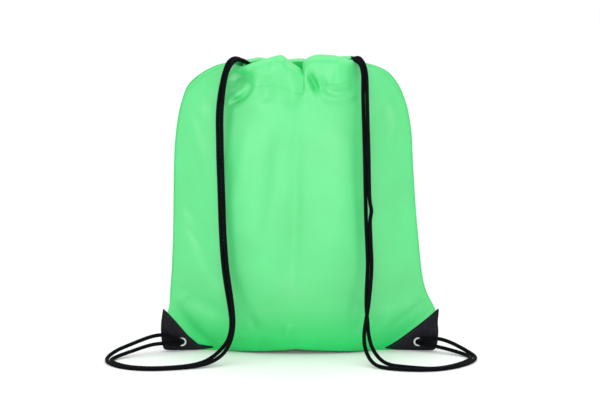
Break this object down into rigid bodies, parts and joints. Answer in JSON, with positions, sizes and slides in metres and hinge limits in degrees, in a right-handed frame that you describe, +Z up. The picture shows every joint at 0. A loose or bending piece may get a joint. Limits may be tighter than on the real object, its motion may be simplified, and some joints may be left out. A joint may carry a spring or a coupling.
{
  "type": "drawstring bag",
  "caption": "Flat two-panel cloth drawstring bag with a gathered mouth, twin cord straps, leatherette bottom corners and metal eyelets, standing lightly filled.",
  "frame": {"origin": "middle of the base, on the floor the bag stands on", "axes": "+Z up, +X to the bag's right as seen from the front, -Y towards the front"},
  "size_m": [0.4593, 0.1755, 0.3723],
  "materials": {
    "bag_cloth": "light plain-weave nylon with a soft sheen",
    "green_thread": "matt sewing thread",
    "patch_leather": "fine-grained leatherette, satin",
    "black_thread": "matt sewing thread",
    "eyelet_metal": "nickel plated",
    "cord_braid": "round braid, matt"
  },
  "bodies": {
    "root": {"front_panel": "bag_cloth", "back_panel": "bag_cloth", "front_casing": "bag_cloth", "back_casing": "bag_cloth", "front_casing_thread": "green_thread", "back_casing_thread": "green_thread", "bottom_seam_thread": "green_thread", "left_side_seam_thread": "green_thread", "left_front_patch": "patch_leather", "left_back_patch": "patch_leather", "left_front_patch_thread": "black_thread", "left_back_patch_thread": "black_thread", "left_eyelet": "eyelet_metal", "left_eyelet_washer": "eyelet_metal", "left_cord": "cord_braid", "left_cord_knot": "cord_braid", "right_side_seam_thread": "green_thread", "right_front_patch": "patch_leather", "right_back_patch": "patch_leather", "right_front_patch_thread": "black_thread", "right_back_patch_thread": "black_thread", "right_eyelet": "eyelet_metal", "right_eyelet_washer": "eyelet_metal", "right_cord": "cord_braid", "right_cord_knot": "cord_braid"}
  },
  "joints": []
}
